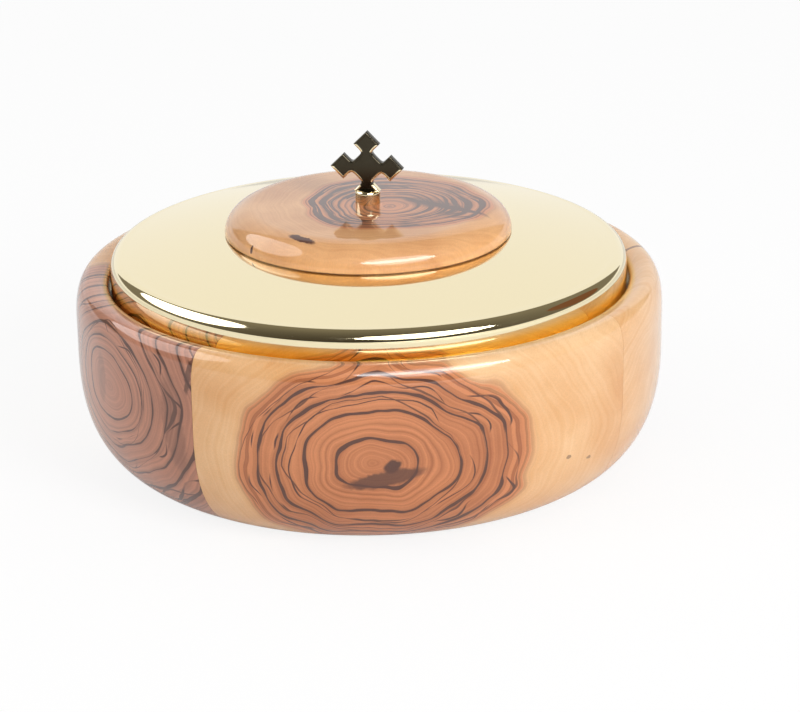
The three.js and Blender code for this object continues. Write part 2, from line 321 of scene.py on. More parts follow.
def share_of_reach(tree, figure, warped):
    """Share of the heartwood's reach, from 0 at the pith to 1 at its edge."""
    parts = add(tree, "ShaderNodeSeparateXYZ", {0: warped})
    shares = []
    left, right, up, down = figure.reach
    for axis, (low, high) in (("X", (left, right)), ("Z", (down, up))):
        above = add(tree, MATHS, {0: parts.outputs[axis], 1: 0.0}, operation="GREATER_THAN")
        reach = add(tree, MIX, {"Factor": above, "A": low, "B": high})
        shares.append(add(tree, MATHS, {0: parts.outputs[axis], 1: reach}, operation="DIVIDE"))
    flat = add(tree, "ShaderNodeCombineXYZ", {"X": shares[0], "Z": shares[1]})
    return add(tree, VECTOR_MATHS, {0: flat}, operation="LENGTH").outputs["Value"]


def vein_lines(tree, figure, share, seeded, uneven):
    """Dark veins: the main rings, and two families of branches that wander off from them
    and meet them again, so that long leaf-shaped cells lie between them."""
    cut = add(tree, RANGE, {"Value": uneven, "From Min": 0.36, "From Max": 0.62,
                            "To Min": 0.12, "To Max": 0.68})
    veins = uneven_lines(tree, ring_ramp(tree, share, figure.rings), cut, 0.22)
    linked = add(tree, RANGE, {"Value": uneven, "From Min": 0.56, "From Max": 0.48})
    for scale, drift, strength in ((0.05, 0.07, 0.85), (0.08, 0.05, linked)):
        wander = add(tree, NOISE, {"Vector": seeded, "Scale": scale, "Detail": 0})
        aside = add(tree, RANGE, {"Value": wander, "From Min": 0.3,
                                  "From Max": 0.7, "To Min": -drift, "To Max": drift})
        astray = add(tree, MATHS, {0: share, 1: aside}, operation="ADD")
        branch = uneven_lines(tree, ring_ramp(tree, astray, figure.branches), cut, 0.35)
        shown = add(tree, MATHS, {0: branch, 1: strength}, operation="MULTIPLY")
        veins = add(tree, MATHS, {0: veins, 1: shown}, operation="MAXIMUM")
    inside = add(tree, RANGE, {"Value": share, "From Min": 0.98, "From Max": 1.03,
                               "To Min": figure.dark, "To Max": 0.0})
    return add(tree, MATHS, {0: veins, 1: inside}, operation="MULTIPLY")


def olive_wood(name, figure):
    """Olive wood, turned, sanded and varnished. It gives brown heartwood with a net of
    dark veins round the pith, plain pale sapwood, and a clear glossy coat."""
    look = sizes("finishes")
    material, tree, shader, _ = new_material(name)

    # Place in millimetres: x across the rings, y along the fibres, z up
    where = add(tree, "ShaderNodeTexCoord")
    rotation = Euler((math.radians(90 if figure.upright else 0), 0, math.radians(figure.turn)))
    local = add(tree, "ShaderNodeMapping", {
        "Vector": where.outputs["Object"], "Location": figure.pith, "Rotation": rotation,
        "Scale": (MM, MM, MM)}, vector_type="TEXTURE")
    # Fibres run along the pith, so everything changes slowly that way
    slow = add(tree, VECTOR_MATHS, {0: local, 1: (1, 0.15, 1)}, operation="MULTIPLY")
    seeded = add(tree, VECTOR_MATHS, {0: slow, 1: (figure.seed,) * 3}, operation="ADD")
    warped = slow
    for grain, push, detail in ((26, 9, 1), (10, 3.4, 0.3), (3.2, 0.5, 0)):
        warped = pushed_about(tree, warped, seeded, grain, push * figure.wobble, detail)
    share = share_of_reach(tree, figure, warped)
    uneven = add(tree, NOISE, {"Vector": seeded, "Scale": 0.08, "Detail": 2}).outputs["Fac"]
    veins = vein_lines(tree, figure, share, seeded, uneven)

    # Growth lines under a millimetre apart
    growth_at = add(tree, MATHS, {0: share, 1: max(figure.reach) * 0.9}, operation="MULTIPLY")
    growth = add(tree, NOISE, {"W": growth_at, "Scale": 1.0, "Detail": 3},
                 noise_dimensions="1D").outputs["Fac"]
    crisp = add(tree, RANGE, {"Value": growth, "From Min": 0.48, "From Max": 0.6})
    if figure.fine:
        inside = add(tree, RANGE, {"Value": share, "From Min": 0.92, "From Max": 1.0,
                                   "To Min": figure.fine, "To Max": 0.0})
        fine = add(tree, MATHS, {0: crisp, 1: inside}, operation="MULTIPLY")
        veins = add(tree, MATHS, {0: veins, 1: fine}, operation="MAXIMUM")

    # Sapwood with warmer streaks, heartwood with darker ones, and a brown fringe between
    broad = add(tree, NOISE, {"Vector": seeded, "Scale": 0.045, "Detail": 3}).outputs["Fac"]
    sap_mix = add(tree, MIX, {"Factor": 0.2, "A": broad, "B": growth})
    sap_share = add(tree, RANGE, {"Value": sap_mix, "From Min": 0.35, "From Max": 0.65})
    sap = add(tree, MIX, {"Factor": sap_share, "A": figure.sap, "B": figure.sap_warm},
              data_type="RGBA")
    heart_mix = add(tree, MIX, {"Factor": 0.55, "A": broad, "B": growth})
    heart_share = add(tree, RANGE, {"Value": heart_mix, "From Min": 0.38, "From Max": 0.8})
    heart = add(tree, MIX, {"Factor": heart_share, "A": figure.heart, "B": figure.heart_dark},
                data_type="RGBA")
    ragged = add(tree, RANGE, {"Value": growth, "From Min": 0.35, "From Max": 0.65,
                               "To Min": -0.03, "To Max": 0.03})
    edge = add(tree, MATHS, {0: share, 1: ragged}, operation="ADD")
    heartness = add(tree, RANGE, {"Value": edge, "From Min": 0.98, "From Max": 1.07,
                                  "To Min": 1.0, "To Max": 0.0},
                    interpolation_type="SMOOTHSTEP")
    body = add(tree, MIX, {"Factor": heartness, "A": sap, "B": heart}, data_type="RGBA")
    fringe = add(tree, MATHS, {0: ring_ramp(tree, edge, ((1.01, 0.08),)), 1: crisp},
                 operation="MULTIPLY")
    fringed = add(tree, MIX, {"Factor": fringe, "A": body, "B": figure.heart_dark},
                  data_type="RGBA")
    wide_rings = [(place, half * 1.8) for place, half in figure.rings]
    halo = add(tree, MATHS, {0: ring_ramp(tree, share, wide_rings), 1: 0.5}, operation="MULTIPLY")
    shaded = add(tree, MIX, {"Factor": halo, "A": fringed, "B": figure.heart_dark},
                 data_type="RGBA")
    stained = add(tree, MIX, {"Factor": veins, "A": shaded, "B": look.vein}, data_type="RGBA")

    # Knots, smears and pits: ellipses with ragged edges
    near = pushed_about(tree, local, seeded, 1.7, 1.6, 2)
    for mark in figure.spots:
        spot_at = add(tree, "ShaderNodeMapping", {
            "Vector": near, "Location": (mark.x, mark.y, mark.z),
            "Rotation": Euler((0, math.radians(-mark.turn), 0)),
            "Scale": (mark.long, mark.deep, mark.high)}, vector_type="TEXTURE")
        off = add(tree, VECTOR_MATHS, {0: spot_at}, operation="LENGTH").outputs["Value"]
        spot = add(tree, RANGE, {"Value": off, "From Min": 0.75, "From Max": 1.15,
                                 "To Min": mark.dark, "To Max": 0.0},
                   interpolation_type="SMOOTHSTEP")
        stained = add(tree, MIX, {"Factor": spot, "A": stained, "B": look.vein}, data_type="RGBA")
    # Painted shade: a dark line just above the foot, where the dome sits on the lid
    if figure.foot:
        shade_full_up_to, shade_gone_at = 0.15 * MM, 0.5 * MM
        height = add(tree, "ShaderNodeSeparateXYZ", {0: where.outputs["Object"]}).outputs["Z"]
        low = add(tree, RANGE, {"Value": height, "From Min": figure.foot + shade_full_up_to,
                                "From Max": figure.foot + shade_gone_at, "To Min": 0.85,
                                "To Max": 0.0})
        stained = add(tree, MIX, {"Factor": low, "A": stained, "B": look.vein}, data_type="RGBA")

    # Pores about 0.3 mm across
    pores = add(tree, NOISE, {"Vector": slow, "Scale": 3.0, "Detail": 2})
    pore = add(tree, RANGE, {"Value": pores, "From Min": 0.3, "From Max": 0.7,
                             "To Min": 0.95, "To Max": 1.04})
    coloured = add(tree, VECTOR_MATHS, {0: stained, "Scale": pore}, operation="SCALE")

    gloss = add(tree, RANGE, {"Value": broad, "To Min": 0.03, "To Max": 0.07})
    sunk = add(tree, "ShaderNodeBump", {"Height": veins, "Strength": 0.2, "Distance": 0.0001},
               invert=True)
    fill(tree, shader, {
        "Base Color": coloured, "Roughness": 0.42, "IOR": 1.5, "Specular IOR Level": 0.1,
        "Coat Weight": 1.0, "Coat IOR": 1.5, "Coat Roughness": gloss, "Normal": sunk})
    return material


def gilt_brass(name, wall_top=None):
    """Spun brass, buffed and plated with gold: a clear mirror with a few smudges, and
    buffing lines round the axis, about 0.4 mm apart and only just seen. Below a height in
    metres, a wall's gold is tinted deeper: a painted reflection of the warm wood it faces."""
    look = sizes("finishes")
    material, tree, shader, _ = new_material(name)
    where = add(tree, "ShaderNodeTexCoord").outputs["Object"]
    flat = add(tree, VECTOR_MATHS, {0: where, 1: (1, 1, 0)}, operation="MULTIPLY")
    radius = add(tree, VECTOR_MATHS, {0: flat}, operation="LENGTH").outputs["Value"]
    lines = add(tree, NOISE, {"W": radius, "Scale": 2500, "Detail": 2}, noise_dimensions="1D")
    smudge = add(tree, NOISE, {"Vector": where, "Scale": 45, "Detail": 4})
    mixed = add(tree, MIX, {"Factor": 0.3, "A": smudge, "B": lines})
    rough = add(tree, RANGE, {"Value": mixed, "From Min": 0.35, "From Max": 0.7,
                              "To Min": 0.03, "To Max": 0.09})
    bump = add(tree, "ShaderNodeBump", {"Height": lines, "Strength": 0.05, "Distance": 0.00002})
    fill(tree, shader, {"Base Color": look.gold, "Metallic": 1.0, "Roughness": rough,
                        "Normal": bump})
    # Painted reflection: below the wall's top the gold is tinted towards the wood that the wall
    # faces
    if wall_top:
        change = 1.5 * MM
        height = add(tree, "ShaderNodeSeparateXYZ", {0: where}).outputs["Z"]
        deep = add(tree, RANGE, {"Value": height, "From Min": wall_top - change,
                                 "From Max": wall_top, "To Min": 1.0, "To Max": 0.0})
        tint = add(tree, MIX, {"Factor": deep, "A": look.gold, "B": look.wood_reflection_gold},
                   data_type="RGBA")
        fill(tree, shader, {"Base Color": tint})
    return material


def painted_dark_reflection(name):
    """A dark olive mirror, a little cloudy: painted dark reflection on the cross's gilt brass."""
    look = sizes("finishes")
    material, tree, shader, _ = new_material(name)
    where = add(tree, "ShaderNodeTexCoord")
    cloud = add(tree, NOISE, {"Vector": where.outputs["Object"], "Scale": 500, "Detail": 3})
    rough = add(tree, RANGE, {"Value": cloud, "To Min": 0.1, "To Max": 0.25})
    fill(tree, shader, {"Base Color": look.painted_dark_reflection, "Metallic": 1.0, "Roughness": rough})
    return material


def plain_metal(name, base, roughness):
    """Turned or zinc plated metal of the hidden fasteners: a fine, dull lathe grain."""
    spread = 0.08
    material, tree, shader, _ = new_material(name)
    where = add(tree, "ShaderNodeTexCoord")
    grain = add(tree, NOISE, {"Vector": where.outputs["Object"], "Scale": 900, "Detail": 2})
    rough = add(tree, RANGE, {"Value": grain, "To Min": roughness - spread,
                              "To Max": roughness + spread})
    fill(tree, shader, {"Base Color": base, "Metallic": 1.0, "Roughness": rough})
    return material


def wool_felt(name):
    """Pressed wool felt: no gloss, and a short tangle of fibres about 0.3 mm across."""
    look = sizes("finishes")
    material, tree, shader, _ = new_material(name)
    where = add(tree, "ShaderNodeTexCoord")
    fibres = add(tree, NOISE, {"Vector": where.outputs["Object"], "Scale": 2200, "Detail": 4})
    light = [min(1, c * 1.6) for c in look.felt]
    tint = add(tree, MIX, {"Factor": fibres, "A": look.felt, "B": light}, data_type="RGBA")
    bump = add(tree, "ShaderNodeBump", {"Height": fibres, "Strength": 0.8, "Distance": 0.0003})
    fill(tree, shader, {"Base Color": tint, "Roughness": 0.95, "Sheen Weight": 0.3,
                        "Normal": bump})
    return material


def turned_tree():
    """Geometry nodes that turn a section about +Z, over a whole turn or part of one."""
    name = "Turned piece"
    if name in bpy.data.node_groups:
        return bpy.data.node_groups[name]
    tree = bpy.data.node_groups.new(name, "GeometryNodeTree")
    face = tree.interface
    face.new_socket("Section", in_out="INPUT", socket_type="NodeSocketGeometry")
    for label, kind in (
        ("Start", "NodeSocketFloat"),
        ("Sweep", "NodeSocketFloat"),
        ("Sides", "NodeSocketInt"),
        ("Sharp angle", "NodeSocketFloat"),
        ("Material", "NodeSocketMaterial"),
    ):
        face.new_socket(label, in_out="INPUT", socket_type=kind)
    face.new_socket("Piece", in_out="OUTPUT", socket_type="NodeSocketGeometry")

    given = add(tree, "NodeGroupInput")
    section = given.outputs["Section"]
    count = add(tree, "GeometryNodeAttributeDomainSize", {0: section}, component="MESH")
    points = count.outputs["Point Count"]
    columns = add(tree, MATHS, {0: given.outputs["Sides"], 1: 1.0}, operation="ADD")
    grid = add(tree, "GeometryNodeMeshGrid", {"Vertices X": columns, "Vertices Y": points})
    index = add(tree, "GeometryNodeInputIndex")
    row = add(tree, MATHS, {0: index, 1: points}, operation="MODULO")
    column_share = add(tree, MATHS, {0: index, 1: points}, operation="DIVIDE")
    column = add(tree, MATHS, {0: column_share}, operation="FLOOR")
    place = add(tree, "GeometryNodeInputPosition")
    sample = add(tree, "GeometryNodeSampleIndex", {"Geometry": section, "Value": place,
                                                   "Index": row},
                 data_type="FLOAT_VECTOR")
    share = add(tree, MATHS, {0: column, 1: given.outputs["Sides"]}, operation="DIVIDE")
    turned = add(tree, MATHS, {0: share, 1: given.outputs["Sweep"]}, operation="MULTIPLY")
    angle = add(tree, MATHS, {0: turned, 1: given.outputs["Start"]}, operation="ADD")
    wall_at = swing(tree, sample, angle)
    wall = add(tree, "GeometryNodeSetPosition", {"Geometry": grid, "Position": wall_at})

    # Flat ends of a part turn, filled from the section itself
    welded = add(tree, "GeometryNodeMergeByDistance", {"Geometry": section, "Distance": 1e-6})
    outline = add(tree, "GeometryNodeMeshToCurve", {"Mesh": welded})
    closed = add(tree, "GeometryNodeSetSplineCyclic", {"Geometry": outline, "Cyclic": True})
    filled = add(tree, "GeometryNodeFillCurve", {"Curve": closed})
    first = add(tree, "GeometryNodeSetPosition", {
        "Geometry": filled, "Position": swing(tree, place, given.outputs["Start"])})
    end = add(tree, MATHS, {0: given.outputs["Start"], 1: given.outputs["Sweep"]},
              operation="ADD")
    last = add(tree, "GeometryNodeSetPosition", {
        "Geometry": filled, "Position": swing(tree, place, end)})
    facing = add(tree, "GeometryNodeFlipFaces", {"Mesh": last})
    ends = add(tree, "GeometryNodeJoinGeometry", {"Geometry": first})
    tree.links.new(facing.outputs[0], ends.inputs[0])
    nearly_whole = 2 * math.pi - 1e-4
    part_turn = add(tree, MATHS, {0: given.outputs["Sweep"], 1: nearly_whole},
                    operation="LESS_THAN")
    kept = add(tree, "GeometryNodeSwitch", {"Switch": part_turn, "True": ends},
               input_type="GEOMETRY")
    joined = add(tree, "GeometryNodeJoinGeometry", {"Geometry": wall})
    tree.links.new(kept.outputs[0], joined.inputs[0])
    solid = add(tree, "GeometryNodeMergeByDistance", {"Geometry": joined, "Distance": 2e-6})

    smooth = add(tree, "GeometryNodeSetShadeSmooth", {"Geometry": solid, "Shade Smooth": True},
                 domain="FACE")
    bend = add(tree, "GeometryNodeInputMeshEdgeAngle")
    sharp = add(tree, MATHS, {0: bend.outputs["Unsigned Angle"],
                              1: given.outputs["Sharp angle"]}, operation="GREATER_THAN")
    creased = add(tree, "GeometryNodeSetShadeSmooth", {"Geometry": smooth, "Selection": sharp,
                                                       "Shade Smooth": False}, domain="EDGE")
    real = add(tree, "GeometryNodeRealizeInstances", {"Geometry": creased})
    painted = add(tree, "GeometryNodeSetMaterial", {"Geometry": real,
                                                    "Material": given.outputs["Material"]})
    add(tree, "NodeGroupOutput", {0: painted})
    return tree


def swing(tree, place, angle):
    """Nodes that stand a flat point (radius, height) upright at an angle about +Z."""
    parts = add(tree, "ShaderNodeSeparateXYZ", {0: place})
    sine = add(tree, MATHS, {0: angle}, operation="SINE")
    cosine = add(tree, MATHS, {0: angle}, operation="COSINE")
    x = add(tree, MATHS, {0: parts.outputs["X"], 1: sine}, operation="MULTIPLY")
    y = add(tree, MATHS, {0: parts.outputs["X"], 1: cosine}, operation="MULTIPLY")
    back = add(tree, MATHS, {0: y, 1: -1.0}, operation="MULTIPLY")
    return add(tree, "ShaderNodeCombineXYZ", {"X": x, "Y": back, "Z": parts.outputs["Y"]})


def turn_piece(name, section, material, start=0.0, sweep=2 * math.pi, sharp=30):
    """Turns a closed section, listed anticlockwise with the axis on the left."""
    mesh = bpy.data.meshes.new(name + "_section")
    corners = [(radius, height, 0) for radius, height in section]
    mesh.from_pydata(corners, [(i, i + 1) for i in range(len(corners) - 1)], [])
    blank = new_object(name + "_blank", mesh)
    modifier = blank.modifiers.new("Turned piece", "NODES")
    modifier.node_group = turned_tree()
    whole = sizes("stage_look").turns
    sides = max(3, round(whole * sweep / (2 * math.pi)))
    values = {"Start": start, "Sweep": sweep, "Sides": sides,
              "Sharp angle": math.radians(sharp), "Material": material}
    for item in modifier.node_group.interface.items_tree:
        if item.name in values:
            modifier[item.identifier] = values[item.name]
    return bake_object(name, blank)


def bake_object(name, source):
    """The evaluated shape of an object as a plain mesh of its own, and the source gone."""
    bpy.context.view_layer.update()
    evaluated = source.evaluated_get(bpy.context.evaluated_depsgraph_get())
    mesh = bpy.data.meshes.new_from_object(evaluated)
    mesh.name = name
    piece = new_object(name, mesh)
    bpy.data.objects.remove(source)
    return piece


def arc(centre, width, height, start, end, steps, full=2.0):
    """Points along part of an ellipse, without its first; angles in quarter turns. Full is
    2 for an ellipse, and more for an outline that is fuller at its corners."""
    points = []
    for i in range(1, steps + 1):
        angle = (start + (end - start) * i / steps) * math.pi / 2
        across, up = math.cos(angle), math.sin(angle)
        across = math.copysign(abs(across) ** (2 / full), across)
        up = math.copysign(abs(up) ** (2 / full), up)
        points.append((centre[0] + width * across, centre[1] + height * up))
    return points


def bowl_section():
    """Section of the wooden bowl, from its foot round the rim and down the inside."""
    bowl = sizes("bowl_sizes")
    cup = sizes("cup_sizes")
    foot = bowl_radius - bowl.overhang
    swell = []
    steps = 34
    for i in range(1, steps + 1):
        rise = (i / steps) ** 2
        spread = (1 - (1 - rise) ** bowl.fullness) ** (1 / bowl.roundness)
        swell.append((foot + bowl.overhang * spread, foot_low + bowl.swell * rise))
    band_top = foot_low + bowl.swell + bowl.band
    crest = bowl_radius - bowl.rim_outer
    mouth = crest - bowl.rim_inner
    edge = rim_crest - bowl.rim_drop
    ledge = edge - bowl.mouth_depth
    cavity = mouth - bowl.ledge_width
    floor = cup_low.z - cup.gap
    corner = cup.corner + cup.wall + cup.gap
    _, pad_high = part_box("cup_stud")
    _, washer_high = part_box("cup_washer")
    pad = pad_high.x + cup.gap
    pad_floor = washer_high.z + bowl.clamp_web
    hole = cup.stud + cup.stud_gap
    nut_pocket = washer_high.x + bowl.spanner_room
    pocket = foot - bowl.foot_ring
    return [
        (pocket, foot_low),
        (foot, foot_low),
        *swell,
        (bowl_radius, band_top),
        *arc((crest, band_top), bowl.rim_outer, rim_crest - band_top, 0, 1, steps=24,
             full=bowl.rim_full),
        *arc((crest, edge), bowl.rim_inner, bowl.rim_drop, 1, 2, steps=12),
        (mouth, ledge),
        (cavity, ledge),
        (cavity, floor + corner),
        *arc((cavity - corner, floor + corner), corner, corner, 0, -1, steps=10),
        (pad, floor),
        (pad, pad_floor),
        (hole, pad_floor),
        (hole, washer_high.z),
        (nut_pocket, washer_high.z),
        (nut_pocket, felt_high.z),
        (pocket, felt_high.z),
        (pocket, foot_low),
    ]


def block_figures():
    """The figure of each glued block. Each pith runs outwards through its block."""
    look = sizes("finishes")
    pale = {"sap": look.sapwood, "sap_warm": look.sapwood_warm}
    brown = {"heart": look.heartwood, "heart_dark": look.heartwood_dark, **pale}
    grey = {"heart": look.grey_heartwood, "heart_dark": look.grey_dark, **pale}
    wide = ((0.29, 0.028), (0.55, 0.02), (0.74, 0.024), (0.88, 0.022))
    wide_branches = ((0.63, 0.012), (0.8, 0.013), (0.94, 0.012))
    close = ((0.26, 0.012), (0.36, 0.009), (0.46, 0.015), (0.57, 0.011), (0.67, 0.013),
             (0.78, 0.02), (0.9, 0.02))
    close_branches = ((0.41, 0.007), (0.62, 0.01), (0.84, 0.012))
    return {
        "front": Figure((0, 0, 0.0264), 1.2, (36, 40, 27, 24.5), wide, wide_branches, 3.1,
                        spots=(Spot(3.4, -0.3, 2.4, 1.8, 25),
                               Spot(1.6, -3.8, 10.5, 2.2, 12, 0.85),
                               Spot(49.2, -6.3, 0.6, 0.5, 0, 0.6),
                               Spot(55, -8.8, 0.6, 0.5, 0, 0.6)),
                        **brown),
        "right": Figure((0, 0, 0.024), 116, (42, 40, 19, 24), close, close_branches, 17.7,
                        spots=(Spot(-20.7, 28.3, 0.9, 4, 0, 0.7),
                               Spot(-46, -6, 0.5, 4, -25, 0.8)),
                        **brown),
        "back": Figure((0, 0, 0.02), 186, (36, 32, 26, 30), wide, wide_branches, 31.3, **brown),
        "left": Figure((0, 0, 0.0345), -60, (46, 46, 34, 36), close, close_branches, 47.9,
                       wobble=0.6, spots=(Spot(33.2, 11.5, 0.9, 5.5, -6, 0.8),
                              Spot(-3, 1, 2.5, 7, 0, 0.3), Spot(28, -3, 3.5, 14, 5, 0.35)),
                       **grey),
    }


class HOSTBOWL_OT_bowl(bpy.types.Operator):
    """Turns the four glued blocks of the wooden bowl"""

    bl_idname = "hostbowl.bowl"
    bl_label = "Wooden bowl"

    def execute(self, context):
        bowl = sizes("bowl_sizes")
        section = bowl_section()
        quarter = 2 * math.pi / len(BLOCKS)
        gap = bowl.glue_line / bowl_radius
        figures = block_figures()
        for i, place in enumerate(BLOCKS):
            material = olive_wood("Varnished olive wood " + place, figures[place])
            start = bowl.first_joint + i * quarter + gap / 2
            block = turn_piece("olive_block_" + place, section, material, start, quarter - gap)
            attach(block, "bowl")
            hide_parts("bowl_block_" + place)
        return {"FINISHED"}


class HOSTBOWL_OT_cup(bpy.types.Operator):
    """Turns the gilt cup that sits in the wood"""

    bl_idname = "hostbowl.cup"
    bl_label = "Gilt cup"

    def execute(self, context):
        cup = sizes("cup_sizes")
        bowl = sizes("bowl_sizes")
        flange = cup_high.x
        outside = bowl_radius - bowl.rim_outer - bowl.rim_inner - bowl.ledge_width - cup.gap
        inside = outside - cup.wall
        floor = cup_low.z + cup.wall
        lip = 0.4 * MM
        centre = (inside - cup.corner, floor + cup.corner)
        big = cup.corner + cup.wall
        section = [
            (0, cup_low.z),
            (centre[0], cup_low.z),
            *arc(centre, big, big, -1, 0, steps=16),
            (outside, cup_high.z - cup.wall),
            (flange, cup_high.z - cup.wall),
            (flange, cup_high.z),
            (inside + lip, cup_high.z),
            *arc((inside + lip, cup_high.z - lip), lip, lip, 1, 2, steps=4),
            (inside, centre[1]),
            *arc(centre, cup.corner, cup.corner, 0, -1, steps=16),
            (0, floor),
            (0, cup_low.z),
        ]
        piece = turn_piece("gilt_cup", section, gilt_brass("Gold plated brass cup"))
        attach(piece, "bowl")
        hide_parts("cup_liner")
        return {"FINISHED"}


class HOSTBOWL_OT_lid(bpy.types.Operator):
    """Turns the gilt lid and the wooden dome on it"""

    bl_idname = "hostbowl.lid"
    bl_label = "Lid"

    def execute(self, context):
        lid = sizes("lid_sizes")
        skirt = lid_high.x
        seat = dome_high.x - lid.dome_edge
        top = lid_high.z
        shoulder = skirt - lid.shoulder
        start = top - lid.crown - lid.shoulder
        inner = lid.shoulder - lid.wall
        hole = lid.tail + lid.hole_gap
        steps = 24

        def crown(base):
            points = []
            for i in range(1, steps):
                radius = shoulder + (seat - shoulder) * i / steps
                fall = (radius**2 - seat**2) / (shoulder**2 - seat**2)
                points.append((radius, base + lid.crown * (1 - fall)))
            return points

        section = [
            (hole, top - lid.wall),
            (seat, top - lid.wall),
            *reversed(crown(start + inner)),
            (shoulder, start + inner),
            *arc((shoulder, start), inner, inner, 1, 0, steps=12),
            (skirt - lid.wall, lid_low.z),
            (skirt, lid_low.z),
            (skirt, start),
            *arc((shoulder, start), lid.shoulder, lid.shoulder, 0, 1, steps=20),
            *crown(start + lid.shoulder),
            (seat, top),
            (hole, top),
            (hole, top - lid.wall),
        ]
        gilt = gilt_brass("Gold plated brass lid", start - lid.wall)
        shell = turn_piece("gilt_lid", section, gilt)
        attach(shell, "lid")
        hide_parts("lid_shell")

        look = sizes("finishes")
        foot = dome_low.z
        radius = dome_high.x
        flat = radius - lid.dome_shoulder
        edge = foot + lid.dome_edge
        rise = dome_high.z - lid.dome_crown - edge
        post = post_high.x
        dome_section = [
            (hole, foot),
            (radius - lid.dome_edge, foot),
            (radius, edge),
            *arc((flat, edge), lid.dome_shoulder, rise, 0, 1, steps=30),
        ]
        circles = 10
        for i in range(1, circles):
            share = i / circles
            bulge = lid.dome_crown * (1 - (1 - share) ** 2)
            dome_section.append((flat + (post - flat) * share, edge + rise + bulge))
        dome_section += [(post, dome_high.z), (hole, dome_high.z), (hole, foot)]
        rings = ((0.28, 0.02), (0.44, 0.03), (0.6, 0.04), (0.68, 0.03), (0.79, 0.045),
                 (0.93, 0.04))
        branches = ((0.36, 0.02), (0.53, 0.025), (0.64, 0.03), (0.74, 0.03), (0.87, 0.03))
        figure = Figure((0.0043, -0.0039, 0), 0, (21, 29, 20, 28), rings, branches, 61.3,
                        look.heartwood, look.heartwood_dark, look.dome_sapwood,
                        look.dome_warm, wobble=0.85, fine=0.5,
                        upright=True, foot=dome_low.z,
                        spots=(Spot(-21.8, 24.6, 4.6, 1.1, 44, y=69.9, deep=3),
                               Spot(-35.1, 19.3, 0.5, 0.5, y=65.5, deep=1.3),
                               Spot(16.6, 0.6, 13, 1.6, 31.8),
                               Spot(14, -1.6, 10, 3, 31.8, 0.6),
                               Spot(12, -3, 7, 4.5, 20, 0.35)))
        dome = turn_piece("olive_dome", dome_section,
                          olive_wood("Varnished olive wood dome", figure))
        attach(dome, "lid")
        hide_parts("lid_dome")
        return {"FINISHED"}


class HOSTBOWL_OT_finial(bpy.types.Operator):
    """Makes the gilt post and the cross of five lozenges"""

    bl_idname = "hostbowl.finial"
    bl_label = "Post and cross"

    def execute(self, context):
        lid = sizes("lid_sizes")
        gilt = gilt_brass("Gold plated brass finial")
        radius = post_high.x
        top = post_high.z
        section = [
            (0, post_low.z),
            (lid.tail, post_low.z),
            (lid.tail, dome_high.z),
            (radius, dome_high.z),
            (radius, top - lid.post_edge),
            *arc((radius - lid.post_edge, top - lid.post_edge), lid.post_edge, lid.post_edge,
                 0, 1, steps=8),
            (0, top),
            (0, post_low.z),
        ]
        post = turn_piece("gilt_post", section, gilt)
        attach(post, "lid")
        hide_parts("finial_post")

        cross = self.cross(lid, gilt)
        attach(cross, "lid")
        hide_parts("finial_cross")
        return {"FINISHED"}

    def outline(self, lid):
        """Corners of the cross round its centre, in the plane of its faces."""
        near = lid.middle - lid.neck
        reach = near + lid.lozenge - lid.neck
        slope = lid.hollow / math.sqrt(2)
        steps = 10
        points = []
        for arm in range(4):
            angle = arm * math.pi / 2
            run = [(near - slope, -lid.neck - slope), (near, -lid.neck), (near, -lid.neck),
                   (near + slope, -lid.neck - slope)]
            local = bezier(run, steps)
            local.append((reach, -lid.lozenge))
            if arm == 3:
                half = lid.lozenge - lid.foot
                local += [(reach + lid.foot, -half), (reach + lid.foot, half)]
            else:
                local.append((reach + lid.lozenge, 0))
            local.append((reach, lid.lozenge))
            local += bezier([(x, -y) for x, y in reversed(run)], steps)
            for x, y in local:
                points.append((x * math.cos(angle) - y * math.sin(angle),
                               x * math.sin(angle) + y * math.cos(angle)))
        return points, reach

    def cross(self, lid, gilt):
        """The cross: rounded edges, and a plate sunk a little in each face. The plates, their
        steps and the edges that face up are painted dark, a painted reflection of dark
        surroundings on the gilt brass; the edges that face down stay gilt."""
        outline, reach = self.outline(lid)
        half = lid.thickness / 2
        steps = 4
        front = [(lid.border + lid.plate_edge, -half + lid.plate_edge), (lid.border, -half)]
        for i in range(steps + 1):
            angle = i / steps * math.pi / 2
            inset, rise = lid.edge * (1 - math.sin(angle)), lid.edge * (1 - math.cos(angle))
            front.append((inset, -half + rise))
        profile = front + [(inset, -y) for inset, y in reversed(front)]
        made = bmesh.new()
        rings = []
        for inset, y in profile:
            rings.append([made.verts.new((x, y, z)) for x, z in inwards(outline, inset)])
        gilt_index, dark_reflection_index = 0, 1
        least_fall = 0.2
        crease = math.radians(35)
        foot_top = -(reach - lid.lozenge / 2)
        count = len(outline)
        for k, (low, high) in enumerate(zip(rings, rings[1:])):
            step = k in (0, len(rings) - 2)
            for i in range(count):
                j = (i + 1) % count
                face = made.faces.new((low[i], low[j], high[j], high[i]))
                # Painted dark reflection on plates, steps and upward edges; edges that face down
                # and the foot stay gilt
                run = Vector(outline[j]) - Vector(outline[i])
                faces_down = run.normalized().x > least_fall
                bright = faces_down or outline[i][1] < foot_top
                face.material_index = gilt_index if bright and not step else dark_reflection_index
        for ring in (rings[0], rings[-1]):
            made.faces.new(ring).material_index = dark_reflection_index
        bmesh.ops.recalc_face_normals(made, faces=made.faces)
        mesh = bpy.data.meshes.new("gilt_cross")
        made.to_mesh(mesh)
        made.free()
        mesh.materials.append(gilt)
        # Second material: painted dark reflection on the gilt brass
        mesh.materials.append(painted_dark_reflection("Painted dark reflection"))
        mesh.shade_smooth()
        mesh.set_sharp_from_angle(angle=crease)
        middle = cross_high.z - reach - lid.lozenge
        mesh.transform(Matrix.Translation((0, 0, middle)) @ Matrix.Rotation(lid.turn, 4, "Z"))
        piece = new_object("gilt_cross", mesh)
        return piece


